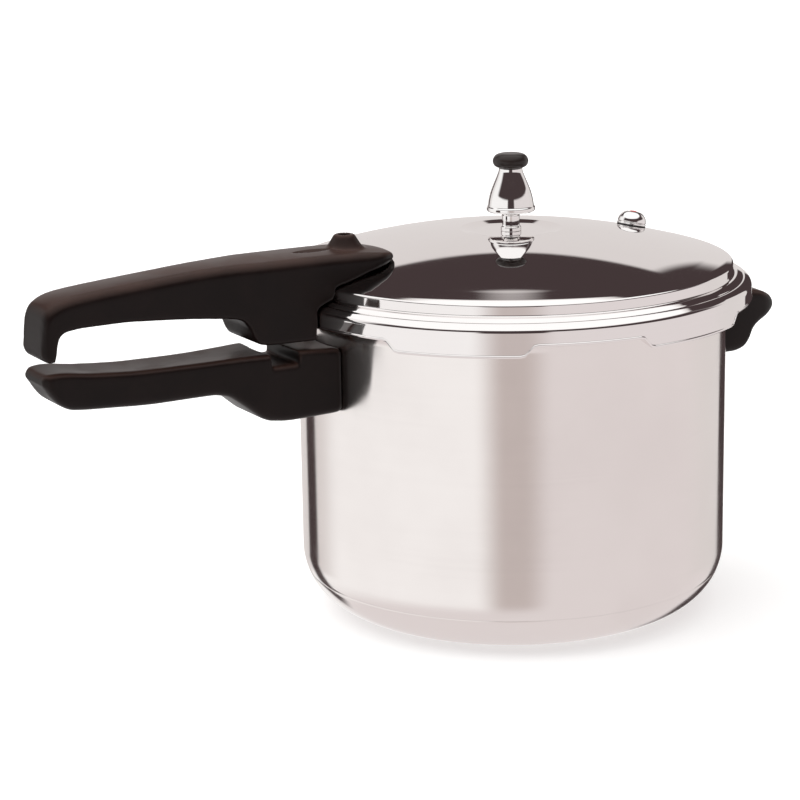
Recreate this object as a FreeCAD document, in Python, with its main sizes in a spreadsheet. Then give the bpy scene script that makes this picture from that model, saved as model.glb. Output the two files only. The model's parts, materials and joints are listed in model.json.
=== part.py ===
import FreeCAD, Part
import Sketcher
import math
import os

# A pressure canner: polished pot and lid joined by six lugs, two long handles on -X,
# a helper handle on +X, a weighted regulator, a relief valve and a pressure lock pin.
# Frame: millimetres, +Z up, origin at the middle of the pot's underside.

os.makedirs("parts", exist_ok=True)
doc = FreeCAD.newDocument("pressure_canner")
sheet = doc.addObject("Spreadsheet::Sheet", "Sizes")
V = FreeCAD.Vector
nodes = []


# ---------------------------------------------------------------- sizes and links

class Dim:
    """A number that remembers the sheet formula it came from."""

    def __init__(self, value, formula):
        self.value = float(value)
        self.formula = formula

    def __add__(self, other):
        other = as_dim(other)
        return Dim(self.value + other.value, "(%s + %s)" % (self.formula, other.formula))

    def __radd__(self, other):
        return as_dim(other) + self

    def __sub__(self, other):
        other = as_dim(other)
        return Dim(self.value - other.value, "(%s - %s)" % (self.formula, other.formula))

    def __rsub__(self, other):
        return as_dim(other) - self

    def __mul__(self, other):
        other = as_dim(other)
        return Dim(self.value * other.value, "(%s * %s)" % (self.formula, other.formula))

    def __rmul__(self, other):
        return as_dim(other) * self

    def __neg__(self):
        return 0 - self


def as_dim(value):
    if isinstance(value, Dim):
        return value
    if value < 0:
        return Dim(value, "(0 - %r)" % -float(value))
    return Dim(value, "%r" % float(value))


row = [1]


def size(name, value, note):
    """Puts one driving size in the sheet and hands it back as a Dim."""
    n = row[0]
    sheet.set("A%d" % n, name)
    sheet.set("B%d" % n, "%s" % value)
    sheet.set("C%d" % n, note)
    sheet.setAlias("B%d" % n, name)
    row[0] = n + 1
    return Dim(value, "Sizes." + name)


def link(obj, prop, value):
    obj.setExpression(prop, as_dim(value).formula)


def place(obj, x=0, y=0, z=0):
    """Sets the object down at x, y, z, each one tied to the sheet."""
    for axis, value in (("x", x), ("y", y), ("z", z)):
        link(obj, "Placement.Base." + axis, value)
    return obj


# the pot
pot_radius = size("pot_radius", 120, "outside radius of the pot wall")
rim_height = size("rim_height", 184.2, "height of the pot's rim above the table")
wall = size("wall", 2.5, "thickness of pot wall and lid sheet")
floor = size("floor", 3.5, "thickness of the pot's floor")
base_corner = size("base_corner", 34, "outside radius of the pot's bottom corner")
rim_band = size("rim_band", 2.8, "how far the thickened rim stands out from the wall")
# the six lugs
lug_sweep = size("lug_sweep", 28, "angle covered by one lug")
lug_reach = size("lug_reach", 10.9, "how far a pot lug stands out from the wall")
lug_thick = size("lug_thick", 4, "height of a pot lug")
lug_turn = size("lug_turn", 16, "angle of the first lug from +X, handles lined up")
lug_gap = size("lug_gap", 0.6, "height between a pot lug and the lid lug under it")
# the lid
skirt_reach = size("skirt_reach", 14.4, "how far the lid skirt stands out from the pot wall")
skirt_drop = size("skirt_drop", 14.6, "how far the skirt hangs below the rim")
shoulder_rise = size("shoulder_rise", 12.7, "height of the lid's shoulder above the rim")
dome_rise = size("dome_rise", 16.7, "height of the dome above the shoulder")
dome_bend = size("dome_bend", 430, "radius of the dome's curve")
# the handles
handle_width = size("handle_width", 40, "width of the long handles at the block")
grip_width = size("grip_width", 32, "width of the long handles at the grip")
handle_reach = size("handle_reach", 166.5, "length of the long handles past the pot wall")
helper_reach = size("helper_reach", 50, "how far the helper handle stands out")
helper_width = size("helper_width", 56, "width of the helper handle")
# the fittings
vent_radius = size("vent_radius", 3.6, "outside radius of the vent pipe")
weight_radius = size("weight_radius", 13.6, "radius of the regulator weight at its foot")
weight_height = size("weight_height", 24.2, "height of the regulator weight")
knob_radius = size("knob_radius", 10.2, "radius of the regulator knob")
valve_radius = size("valve_radius", 8.35, "radius of the relief valve")
valve_inset = size("valve_inset", 32, "relief valve, distance in from the wall line")
valve_turn = size("valve_turn", 6, "relief valve, angle round from +X")
valve_lean = size("valve_lean", 12.6, "slope of the dome under the relief valve")
pin_radius = size("pin_radius", 2.4, "radius of the pressure lock pin")
pin_rise = size("pin_rise", 4.5, "travel of the pressure lock pin")
fit = size("fit", 0.3, "clearance between parts that move past each other")
doc.recompute()

R = pot_radius
H = rim_height


# ---------------------------------------------------------------- small makers

def outline(name, points, plane="XZ", offset=0):
    """A closed sketch; a third entry in a point bows the edge that reaches it upwards."""
    sk = doc.addObject("Sketcher::SketchObject", name)
    if plane == "XZ":
        sk.Placement = FreeCAD.Placement(V(0, 0, 0), FreeCAD.Rotation(V(1, 0, 0), 90))
    if plane == "XY":
        link(sk, "Placement.Base.z", offset)
    pts = [(as_dim(p[0]), as_dim(p[1])) for p in points]
    ends = []
    for i in range(len(pts)):
        a = V(pts[i - 1][0].value, pts[i - 1][1].value, 0)
        b = V(pts[i][0].value, pts[i][1].value, 0)
        if len(points[i]) == 2:
            sk.addGeometry(Part.LineSegment(a, b), False)
            ends.append((1, 2))
            continue
        bend = as_dim(points[i][2])
        middle = (a + b) * 0.5
        half = (b - a).Length / 2
        side = V(-(b - a).y, (b - a).x, 0).normalize()
        reach = math.sqrt(bend.value ** 2 - half ** 2)
        inward = b.x < a.x
        centre = middle + side * (reach if inward else -reach)
        first, last = (a, b) if inward else (b, a)
        start = math.atan2(first.y - centre.y, first.x - centre.x)
        stop = math.atan2(last.y - centre.y, last.x - centre.x)
        circle = Part.Circle(centre, V(0, 0, 1), bend.value)
        sk.addGeometry(Part.ArcOfCircle(circle, start, stop), False)
        ends.append((1, 2) if inward else (2, 1))
    for i in range(len(pts)):
        j = (i + 1) % len(pts)
        sk.addConstraint(Sketcher.Constraint("Coincident", i, ends[i][1], j, ends[j][0]))
    for i in range(len(pts)):
        for kind, value in (("DistanceX", pts[i][0]), ("DistanceY", pts[i][1])):
            rule = Sketcher.Constraint(kind, -1, 1, i, ends[i][1], value.value)
            number = sk.addConstraint(rule)
            sk.setExpression("Constraints[%d]" % number, value.formula)
        if len(points[i]) == 3:
            bend = as_dim(points[i][2])
            number = sk.addConstraint(Sketcher.Constraint("Radius", i, bend.value))
            sk.setExpression("Constraints[%d]" % number, bend.formula)
    return sk


def turned(name, points):
    """A solid of revolution about the Z axis."""
    obj = doc.addObject("Part::Revolution", name)
    obj.Source = outline(name + "_outline", points)
    obj.Axis = V(0, 0, 1)
    obj.Base = V(0, 0, 0)
    obj.Angle = 360
    obj.Solid = True
    return obj


def slab(name, points, width):
    """A side outline in XZ, drawn out to both sides of the XZ plane."""
    obj = doc.addObject("Part::Extrusion", name)
    obj.Base = outline(name + "_outline", points)
    obj.DirMode = "Custom"
    obj.Dir = V(0, 1, 0)
    obj.Solid = True
    link(obj, "LengthFwd", width * 0.5)
    link(obj, "LengthRev", width * 0.5)
    return obj


def plate(name, points, z0, z1):
    """A plan outline in XY, drawn up from z0 to z1."""
    obj = doc.addObject("Part::Extrusion", name)
    obj.Base = outline(name + "_outline", points, "XY", z0)
    obj.DirMode = "Custom"
    obj.Dir = V(0, 0, 1)
    obj.Solid = True
    link(obj, "LengthFwd", as_dim(z1) - z0)
    return obj


def rod(name, x, y, z0, z1, radius, angle=360, start=0):
    """An upright cylinder, or a wedge of one when angle is given."""
    obj = doc.addObject("Part::Cylinder", name)
    link(obj, "Radius", radius)
    link(obj, "Height", as_dim(z1) - z0)
    link(obj, "Angle", angle)
    obj.Placement = FreeCAD.Placement(V(0, 0, 0), FreeCAD.Rotation(V(0, 0, 1), 0))
    obj.setExpression("Placement.Rotation.Angle", as_dim(start).formula)
    return place(obj, x, y, z0)


def brick(name, x0, x1, y0, y1, z0, z1):
    obj = doc.addObject("Part::Box", name)
    link(obj, "Length", as_dim(x1) - x0)
    link(obj, "Width", as_dim(y1) - y0)
    link(obj, "Height", as_dim(z1) - z0)
    return place(obj, x0, y0, z0)


def joined(name, shapes):
    obj = doc.addObject("Part::MultiFuse", name)
    obj.Shapes = shapes
    obj.Refine = True
    return obj


def less(name, base, tools):
    """The base with every tool taken away from it."""
    obj = doc.addObject("Part::Cut", name)
    obj.Base = base
    obj.Tool = tools[0] if len(tools) == 1 else joined(name + "_tools", tools)
    obj.Refine = True
    return obj


def shared(name, shapes):
    obj = doc.addObject("Part::MultiCommon", name)
    obj.Shapes = shapes
    obj.Refine = True
    return obj


def rounded(name, base, radius, test):
    """Rounds every edge of the base for which test(edge) is true."""
    doc.recompute()
    obj = doc.addObject("Part::Fillet", name)
    obj.Base = base
    picked = [i + 1 for i, edge in enumerate(base.Shape.Edges) if test(edge)]
    obj.Edges = [(i, float(radius), float(radius)) for i in picked]
    return obj


def ring_at(radius, z):
    """A test for the circular edges about Z with this radius and height."""
    radius = as_dim(radius).value
    z = as_dim(z).value

    def test(edge):
        if not hasattr(edge.Curve, "Radius"):
            return False
        middle = edge.Curve.Center
        flat = abs(middle.x) < 0.01 and abs(middle.y) < 0.01
        return flat and abs(edge.Curve.Radius - radius) < 0.01 and abs(middle.z - z) < 0.01
    return test


def wedges(name, radius, z0, z1, sweep, start, count):
    """Equal wedges of a cylinder, evenly spread about Z, each centred on its angle."""
    made = []
    for k in range(count):
        first = as_dim(start) + k * 360.0 / count - as_dim(sweep) * 0.5
        made.append(rod("%s_%d" % (name, k + 1), 0, 0, z0, z1, radius, sweep, first))
    return made


def hexagon(name, across, z0, z1):
    """A six-sided prism about Z, given the distance across its flats."""
    obj = doc.addObject("Part::Prism", name)
    obj.Polygon = 6
    link(obj, "Circumradius", across * (1 / math.sqrt(3)))
    link(obj, "Height", as_dim(z1) - z0)
    return place(obj, 0, 0, z0)


def node(obj, label):
    """Marks an object as one finished piece of the canner."""
    obj.Label = label
    nodes.append(obj)
    return obj


# ---------------------------------------------------------------- heights that follow from the sizes

shoulder = H + shoulder_rise
crown = shoulder + dome_rise
pot_lug_top = H - 1.6
pot_lug_foot = pot_lug_top - lug_thick
lid_lug_top = pot_lug_foot - lug_gap
lid_lug_foot = lid_lug_top - wall
skirt_out = R + skirt_reach
skirt_foot = H - skirt_drop


def dome_at(part):
    """Height of the dome's outer face, given as a part of its rise (1 at the crown)."""
    return shoulder + 0.9 + (dome_rise - 0.9) * part


# ---------------------------------------------------------------- the pot

pot_raw = turned("pot_raw", [
    (0, 0), (R, 0), (R, H - 14), (R + rim_band, H - 10), (R + rim_band, H),
    (R - wall, H), (R - wall, floor), (0, floor)])
pot_base = rounded("pot_base", pot_raw, base_corner.value, ring_at(R, 0))
pot_shell = rounded("pot_shell", pot_base, (base_corner - wall).value, ring_at(R - wall, floor))
pot_lug_wedges = joined("pot_lug_wedges", wedges(
    "pot_lug", R + lug_reach, pot_lug_foot, pot_lug_top, lug_sweep, lug_turn, 6))
pot_lug_core = rod("pot_lug_core", 0, 0, pot_lug_foot - 1, pot_lug_top + 1, R)
pot_lugs = less("pot_lugs", pot_lug_wedges, [pot_lug_core])
node(joined("pot_solid", [pot_shell, pot_lugs]), "pot_body")


# ---------------------------------------------------------------- the two long handles

tip = -(R + handle_reach)
block_end = -(R + 47)
grip_run = handle_reach - 47


def along(part):
    """X at a given part of the way from the handle block (0) to the handle tip (1)."""
    return block_end - grip_run * part


def waist(name, z0, z1):
    """The plan that keeps a handle broad at the block and narrower at the grip."""
    broad = handle_width * 0.5
    slim = grip_width * 0.5
    end = slim - 3.5
    return plate(name, [
        (0, -broad), (0, broad), (block_end, broad), (along(0.12), slim), (along(0.93), slim),
        (along(0.985), slim - 1.2), (tip, end), (tip, -end), (along(0.985), -slim + 1.2),
        (along(0.93), -slim), (along(0.12), -slim), (block_end, -broad)], z0, z1)


def tongue(name, sign, root, reach, half, z0, z1, foot, head, sweep, middle):
    """A bracket: a curved foot that follows the metal, and a tongue into the handle."""
    arm = brick(name + "_arm", sign * (root + (reach if sign < 0 else 0)),
                sign * (root + (0 if sign < 0 else reach)), -half, half, z0, z1)
    sole = wedges(name + "_sole", root + 2, foot, head, sweep, middle, 1)[0]
    core = rod(name + "_core", 0, 0, foot - 5, head + 5, root)
    return less(name + "_shape", joined(name + "_pieces", [arm, sole]), [core])


# the handle on the pot
body_handle_side = slab("body_handle_side", [
    (-R + 4, H - 22), (-(R + 6), H - 20.4), (-(R + 24.5), H - 19.2), (-(R + 24.5), H - 26),
    (block_end + 6.5, H - 26), (block_end + 6.5, H - 19.2), (along(0.28), H - 19.6),
    (along(0.53), H - 19.2), (along(0.77), H - 17.2), (along(0.93), H - 15),
    (along(0.98), H - 15.4), (tip, H - 18), (tip + 1.5, H - 22), (tip + 5, H - 28),
    (tip + 9, H - 32.2), (tip + 16, H - 35.4), (along(0.7), H - 37), (along(0.46), H - 38.4),
    (along(0.22), H - 38.2), (along(0.145), H - 39.8), (along(0.09), H - 44),
    (block_end - 2, H - 51), (block_end + 2, H - 54), (block_end + 7, H - 55.8),
    (-(R + 28), H - 57), (-R + 4, H - 56.4)], handle_width)
body_screw_x = -(R + 19)
body_handle_cut = less("body_handle_cut",
                       shared("body_handle_plan", [body_handle_side,
                                                   waist("body_handle_waist", H - 60, H)]),
                       [rod("body_handle_wall", 0, 0, H - 70, H, R + 0.05),
                        wedges("body_handle_seat", R + 2.1, H - 50.2, H - 23.8, 15, 180, 1)[0],
                        brick("body_handle_slot", -(R + 28.3), -R, -8.3, 8.3, H - 44.3, H - 31.7),
                        rod("body_handle_bore", body_screw_x, 0, H - 60, H - 44, 2.4),
                        rod("body_handle_sink", body_screw_x, 0, H - 60, H - 50, 4.8)])
node(body_handle_cut, "body_handle")
body_bracket = less("body_bracket",
                    tongue("body_bracket_raw", -1, R, 28, 8, H - 44, H - 32, H - 50, H - 24, 14, 180),
                    [rod("body_bracket_bore", body_screw_x, 0, H - 45, H - 31, 2.1)])
node(body_bracket, "body_handle_bracket")


def screw(name, label, x, head_foot, head_top, shank_top):
    """A pan-head screw driven upwards, with a slot across its head."""
    head = rod(name + "_head", x, 0, head_foot, head_top, 4.3)
    shank = rod(name + "_shank", x, 0, head_top, shank_top, 2)
    slot = brick(name + "_slot", x - 5, x + 5, -0.5, 0.5, head_foot - 1, head_foot + 1)
    return node(less(name, joined(name + "_blank", [head, shank]), [slot]), label)


screw("body_screw", "body_handle_screw", body_screw_x, H - 53, H - 50, H - 33)

# the handle on the lid
lid_handle_side = slab("lid_handle_side", [
    (-R + 35, H + 18), (-R + 35, H + 21.6), (-R + 31, H + 23.4), (-R + 24, H + 25.6),
    (-R + 12, H + 28), (-(R + 5), H + 29), (-(R + 19), H + 29.4), (block_end, H + 29.8),
    (along(0.2), H + 29.2), (along(0.41), H + 27.6), (along(0.64), H + 25.5),
    (along(0.8), H + 23.8), (along(0.88), H + 22.4), (along(0.955), H + 18.6),
    (along(0.985), H + 13), (tip + 0.6, H + 4), (tip, H - 4), (tip + 1.5, H - 8),
    (tip + 4.5, H - 9.4), (tip + 7.4, H - 9), (tip + 8, H - 2), (tip + 9.6, H + 3.4),
    (tip + 14, H + 6), (tip + 24, H + 6.9), (along(0.64), H + 7), (along(0.48), H + 5.9),
    (along(0.32), H + 4.4), (along(0.2), H + 2.9), (along(0.12), H + 1.8),
    (along(0.07), H + 0.2), (along(0.04), H - 4), (along(0.02), H - 9.7),
    (block_end + 0.3, H - 13), (block_end + 6, H - 14.2), (-R + 10, H - 15.2)], handle_width)
boss_x = -(R - 14.5)
lid_room = turned("lid_room", [
    (0, H - 40), (skirt_out + 0.2, H - 40), (skirt_out + 0.2, H - 0.6), (skirt_out - 1, H + 1.7),
    (R + 11.1, H + 2.9), (R + 8.6, H + 4.3), (R + 6.8, H + 4.7), (R + 5.3, H + 4.3),
    (R + 3.9, H + 5.9), (R - 0.8, shoulder - 0.5), (R - 2.2, shoulder + 0.5),
    (R - 5.1, shoulder + 1.15), (28.5, crown + 0.25, dome_bend), (0, crown + 0.25)])
boss_top = H + 37.1
boss = place(doc.addObject("Part::Cone", "boss"), boss_x, 0, H + 27)
link(boss, "Radius1", 10.9)
link(boss, "Radius2", 5.2)
link(boss, "Height", boss_top - (H + 27))
pin_seat = dome_at(0.16)
lid_screw_x = -(R + 29)
nose_x = -(R - 29)
lid_handle_block = less(
    "lid_handle_block",
    joined("lid_handle_stock", [
        shared("lid_handle_plan", [lid_handle_side, waist("lid_handle_waist", H - 20, H + 40)]),
        boss]),
    [lid_room,
     rod("lid_handle_pin_bore", boss_x, 0, H, H + 40, pin_radius + 0.6),
     rod("lid_handle_pin_well", boss_x, 0, H, pin_seat + 3.2, 7.6),
     rod("lid_handle_nose_bore", nose_x, 0, H, dome_at(0.385) + 3, 2.1),
     wedges("lid_handle_seat", skirt_out + 2.1, H - 8.4, H - 0.2, 13, 180, 1)[0],
     brick("lid_handle_slot", -(skirt_out + 24.3), -skirt_out, -8.3, 8.3, H - 5.3, H + 3.3),
     rod("lid_handle_bore", lid_screw_x, 0, H - 16, H - 5, 2.4),
     rod("lid_handle_sink", lid_screw_x, 0, H - 16, H - 9.4, 4.8)])
thumb_groove = brick("thumb_groove", boss_x - 28, boss_x - 13, -3, 3, H + 28.2, H + 40)
node(less("lid_handle_cut", lid_handle_block, [thumb_groove]), "lid_handle")
lid_bracket = less("lid_bracket",
                   tongue("lid_bracket_raw", -1, skirt_out, 24, 8, H - 5, H + 3, H - 8.2, H - 0.4,
                          12, 180),
                   [rod("lid_bracket_bore", lid_screw_x, 0, H - 6, H + 4, 2.1)])
node(lid_bracket, "lid_handle_bracket")
screw("lid_screw", "lid_handle_screw", lid_screw_x, H - 12.4, H - 9.4, H + 2.5)
nose_under = dome_at(0.385) - wall - 1.5
screw("nose_screw_solid", "nose_screw", nose_x, nose_under - 4, nose_under - 1.2,
      dome_at(0.385) + 2.6)
nose_washer = less("nose_washer_cut",
                   rod("nose_washer_disc", nose_x, 0, nose_under - 1.2, nose_under, 5),
                   [rod("nose_washer_bore", nose_x, 0, nose_under - 2, nose_under + 1, 2.1)])
node(nose_washer, "nose_washer")


# ---------------------------------------------------------------- the helper handle

helper_side = slab("helper_side", [
    (R - 4, H - 18), (R + 8, H - 16.6), (R + 22, H - 17.5), (R + 36, H - 20),
    (R + helper_reach - 4, H - 24.5), (R + helper_reach, H - 28.5),
    (R + helper_reach - 1.5, H - 32.5), (R + helper_reach - 7, H - 36),
    (R + 35, H - 39.5), (R + 30, H - 43.5), (R + 27.5, H - 49), (R + 24, H - 52.6),
    (R + 18, H - 54), (R - 4, H - 54)], helper_width)
helper_half = helper_width * 0.5
helper_plan = plate("helper_plan", [
    (0, -helper_half), (R + 14, -helper_half), (R + helper_reach - 12, -helper_half + 3),
    (R + helper_reach - 3, -helper_half + 8), (R + helper_reach, -helper_half + 16),
    (R + helper_reach, helper_half - 16), (R + helper_reach - 3, helper_half - 8),
    (R + helper_reach - 12, helper_half - 3), (R + 14, helper_half), (0, helper_half)],
    H - 60, H)
helper_screw_x = R + 15
helper_cut = less("helper_cut", shared("helper_blank", [helper_side, helper_plan]),
                  [rod("helper_wall", 0, 0, H - 70, H, R + 0.05),
                   wedges("helper_seat", R + 2.1, H - 50.2, H - 23.8, 19, 0, 1)[0],
                   brick("helper_slot", R, R + 22.3, -10.3, 10.3, H - 44.3, H - 31.7),
                   rod("helper_bore", helper_screw_x, 0, H - 60, H - 44, 2.4),
                   rod("helper_sink", helper_screw_x, 0, H - 60, H - 50, 4.8)])
node(helper_cut, "helper_handle")
helper_bracket = less("helper_bracket",
                      tongue("helper_bracket_raw", 1, R, 22, 10, H - 44, H - 32, H - 50, H - 24,
                             18, 0),
                      [rod("helper_bracket_bore", helper_screw_x, 0, H - 45, H - 31, 2.1)])
node(helper_bracket, "helper_handle_bracket")
screw("helper_screw", "helper_handle_screw", helper_screw_x, H - 53, H - 50, H - 33)


# ---------------------------------------------------------------- the cooking rack

rack_radius = R - base_corner * 0.5 + 5.5
rack_top = floor + 13.5
rack_disc = rod("rack_disc", 0, 0, rack_top - 1.5, rack_top, rack_radius)


def ring_of_rods(name, count, ring, z0, z1, radius):
    """Upright rods spread evenly round a circle."""
    made = []
    for k in range(count):
        turn = 2 * math.pi * k / count
        made.append(rod("%s_%d" % (name, k + 1), ring * math.cos(turn), ring * math.sin(turn),
                        z0, z1, radius))
    return made


rack_feet = ring_of_rods("rack_foot", 4, rack_radius * 0.72, floor + fit, rack_top - 1, 6)
rack_holes = []
for number, (count, place_out) in enumerate(((6, 0.21), (12, 0.41), (16, 0.59), (26, 0.88))):
    rack_holes += ring_of_rods("rack_hole_%d" % (number + 1), count, rack_radius * place_out,
                               rack_top - 3, rack_top + 1, 4)
rack = less("rack", joined("rack_stock", [rack_disc] + rack_feet), rack_holes)
node(rack, "cooking_rack")


# ---------------------------------------------------------------- the lid and its sealing ring

lid_shell = turned("lid_shell", [
    (0, crown - 0.8), (25.5, crown - 0.8), (28.5, crown), (R - 5.2, shoulder + 0.9, dome_bend),
    (R - 2.4, shoulder + 0.2), (R - 1.1, shoulder - 0.8), (R + 3.6, H + 5.6), (R + 5.2, H + 4),
    (R + 6.8, H + 4.4), (R + 8.5, H + 4), (R + 11, H + 2.6), (R + 13.2, H + 1.2),
    (skirt_out, H - 0.9), (skirt_out, skirt_foot), (skirt_out - wall, skirt_foot),
    (skirt_out - wall, H - 1.6), (skirt_out - wall - 1.3, H + 0), (R + 5.6, H + 1.5),
    (R + 2.4, H + 3.2), (R + 1, H + 5), (R - 3.4, shoulder - 1.9),
    (R - 5.85, shoulder - 1.5), (28, crown - wall, dome_bend), (25, crown - 0.8 - wall),
    (0, crown - 0.8 - wall)])
valve_place = R - valve_inset
valve_angle = math.radians(valve_turn.value)
valve_x = valve_place * math.cos(valve_angle)
valve_y = valve_place * math.sin(valve_angle)
valve_seat = dome_at(0.43)


def on_valve(obj):
    """Sets a piece built about Z down on the dome where the relief valve stands."""
    hinge = V(-math.sin(valve_angle), math.cos(valve_angle), 0)
    obj.Placement = FreeCAD.Placement(V(0, 0, 0), FreeCAD.Rotation(hinge, valve_lean.value))
    return place(obj, valve_x, valve_y, valve_seat)


lid_windows = wedges("lid_window", skirt_out + 1, skirt_foot - 1, lid_lug_foot, lug_sweep,
                     lug_turn, 6)
lid_lug_wedges = joined("lid_lug_wedges", wedges(
    "lid_lug", skirt_out - 1, lid_lug_foot, lid_lug_top, lug_sweep, lug_turn, 6))
lid_lug_core = rod("lid_lug_core", 0, 0, lid_lug_foot - 1, lid_lug_top + 1, R + 5)
lid_lugs = less("lid_lugs", lid_lug_wedges, [lid_lug_core])
lid_stock = joined("lid_stock", [
    less("lid_skirted", lid_shell, lid_windows), lid_lugs,
    on_valve(turned("valve_pad", [(0, -4.2), (9.6, -4.2), (9.6, 0), (0, 0)])),
    rod("pin_pad", boss_x, 0, pin_seat - 5, pin_seat, 7.2)])
lid_holes = [
    rod("vent_hole", 0, 0, crown - 10, crown + 5, vent_radius),
    on_valve(turned("valve_hole", [
        (0, -12), (4.9, -12), (4.9, 0), (9.6, 0), (9.6, 6), (0, 6)])),
    rod("pin_hole", boss_x, 0, pin_seat - 12, pin_seat + 8, 4.5),
    rod("pin_flat", boss_x, 0, pin_seat, pin_seat + 8, 7.2),
    rod("nose_hole", nose_x, 0, dome_at(0.385) - 8, dome_at(0.385) + 6, 2.3)]
node(less("lid_solid", lid_stock, lid_holes), "lid")
sealing_ring = turned("sealing_ring_solid", [
    (R - 8.4, H + 0.5), (R - 0.2, H + 0.5), (R - 0.2, H + 4.8), (R - 4.4, H + 9),
    (R - 8.4, H + 9)])
node(sealing_ring, "sealing_ring")


# ---------------------------------------------------------------- vent pipe and regulator

weight_foot = crown + 9.4
weight_top = weight_foot + weight_height
bore_top = weight_foot + weight_height * 0.61
pipe_top = weight_foot + weight_height * 0.52
under_crown = crown - 0.8 - wall
pipe_solid = turned("pipe_solid", [
    (1.2, crown - 14), (vent_radius, crown - 14), (vent_radius, crown - 0.8),
    (vent_radius + 2.1, crown - 0.8), (vent_radius + 2.1, weight_foot - 1.1),
    (vent_radius + 1.4, weight_foot - 0.4), (vent_radius, weight_foot - 0.4),
    (vent_radius, pipe_top - 1), (vent_radius - 1, pipe_top), (1.2, pipe_top)])
node(pipe_solid, "vent_pipe")
pipe_washer = less("pipe_washer", rod("pipe_washer_disc", 0, 0, under_crown - 1.2, under_crown, 8),
                   [rod("pipe_washer_bore", 0, 0, under_crown - 2, under_crown + 1, vent_radius)])
node(pipe_washer, "vent_pipe_washer")
pipe_nut = less("pipe_nut", hexagon("pipe_nut_blank", 14, under_crown - 6.2, under_crown - 1.2),
                [rod("pipe_nut_bore", 0, 0, under_crown - 8, under_crown, vent_radius)])
node(pipe_nut, "vent_pipe_nut")


def share(part):
    """Height on the regulator weight, as a part of its height."""
    return weight_foot + weight_height * part


bore = vent_radius + 0.5
weight_raw = turned("weight_raw", [
    (bore, weight_foot), (weight_radius - 0.7, weight_foot), (weight_radius, share(0.03)),
    (weight_radius, share(0.13)), (weight_radius - 0.8, share(0.26)),
    (weight_radius - 1.7, share(0.39)), (weight_radius - 2.8, share(0.52)),
    (weight_radius - 4.2, share(0.66)), (weight_radius - 5.7, share(0.8)),
    (weight_radius - 6.9, share(0.93)), (weight_radius - 7.1, weight_top), (0, weight_top),
    (0, bore_top), (bore, bore_top)])
port = doc.addObject("Part::Cylinder", "steam_port")
port.Radius = 1.2
port.Height = 40
port_turn = -28.0
port_rad = math.radians(port_turn)
port.Placement = FreeCAD.Placement(
    V(-20 * math.cos(port_rad), -20 * math.sin(port_rad), 0),
    FreeCAD.Rotation(V(0, 0, 1), port_turn) * FreeCAD.Rotation(V(0, 1, 0), 90))
link(port, "Placement.Base.z", share(0.42))
stud_hole = rod("stud_hole", 0, 0, weight_top - 7.6, weight_top + 1, 2.05)
node(less("weight", weight_raw, [port, stud_hole]), "regulator_weight")
knob = turned("knob", [
    (2.05, weight_top), (knob_radius - 3.6, weight_top), (knob_radius - 1.2, weight_top + 1.4),
    (knob_radius, weight_top + 3.4), (knob_radius, weight_top + 5.1),
    (knob_radius - 1.1, weight_top + 7), (knob_radius - 3.4, weight_top + 8),
    (0, weight_top + 8.3), (0, weight_top + 6), (2.05, weight_top + 6)])
node(knob, "regulator_knob")
node(rod("stud", 0, 0, weight_top - 7.6, weight_top + 5.8, 2), "regulator_stud")


# ---------------------------------------------------------------- pressure lock pin

grommet = turned("grommet", [
    (pin_radius + fit, pin_seat - 6.5), (6.3, pin_seat - 6.5), (6.3, pin_seat - 5),
    (4.5, pin_seat - 5), (4.5, pin_seat), (6.3, pin_seat), (6.3, pin_seat + 1.4),
    (pin_radius + fit, pin_seat + 1.4)])
node(place(grommet, boss_x, 0, 0), "lock_pin_grommet")
pin_flange_top = pin_seat - 6.5 - fit - pin_rise
pin_top = boss_top + 0.4 - pin_rise
pin = turned("pin", [
    (0, pin_flange_top - 1.6), (4.6, pin_flange_top - 1.6), (4.6, pin_flange_top),
    (pin_radius, pin_flange_top), (pin_radius, pin_top - 0.6), (pin_radius - 0.6, pin_top),
    (0, pin_top)])
node(place(pin, boss_x, 0, 0), "lock_pin")


# ---------------------------------------------------------------- relief valve

# Every piece of the valve is built about Z with its seat at height 0, then set on the dome.
valve_washer = turned("valve_washer_solid", [
    (4.9, 0), (valve_radius - 0.15, 0), (valve_radius - 0.15, 0.6), (4.9, 0.6)])
node(on_valve(valve_washer), "valve_washer")
valve_body = turned("valve_body_solid", [
    (1.6, -10.6), (4.9, -10.6), (4.9, 0.6), (valve_radius, 0.6), (valve_radius, 1.4),
    (valve_radius - 0.4, 1.8), (3.2, 1.8), (3.2, -8.6), (1.6, -8.6)])
node(on_valve(valve_body), "valve_body")
valve_cap = turned("valve_cap_solid", [
    (1.6, 1.8), (valve_radius - 0.4, 1.8), (valve_radius, 2.2), (valve_radius - 0.3, 4.2),
    (valve_radius - 1.4, 6.1), (valve_radius - 3, 7.4), (valve_radius - 4.2, 7.9), (3, 8.1),
    (3, 3.8), (1.6, 3.8)])
node(on_valve(valve_cap), "valve_cap")
valve_button = turned("valve_button_solid", [
    (0, -8.3), (2.8, -8.3), (2.8, -7.1), (1.2, -7.1), (1.2, 4.2), (2.7, 4.2), (2.7, 7.9),
    (1.9, 8.4), (0, 8.6)])
node(on_valve(valve_button), "valve_button")
coil = doc.addObject("Part::Helix", "coil")
coil.Pitch = 1.5
coil.Height = 6
coil.Radius = 2.2
coil.SegmentLength = 1
coil.Placement.Base = V(0, 0, -4.7)
wire = doc.addObject("Part::Circle", "wire")
wire.Radius = 0.3
wire.Placement = FreeCAD.Placement(V(2.2, 0, -4.7), FreeCAD.Rotation(V(1, 0, 0), 90))
doc.recompute()
spring = doc.addObject("Part::Sweep", "spring")
spring.Sections = [wire]
spring.Spine = (coil, ["Edge%d" % (k + 1) for k in range(len(coil.Shape.Edges))])
spring.Solid = True
spring.Frenet = True
node(on_valve(spring), "valve_spring")
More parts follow.
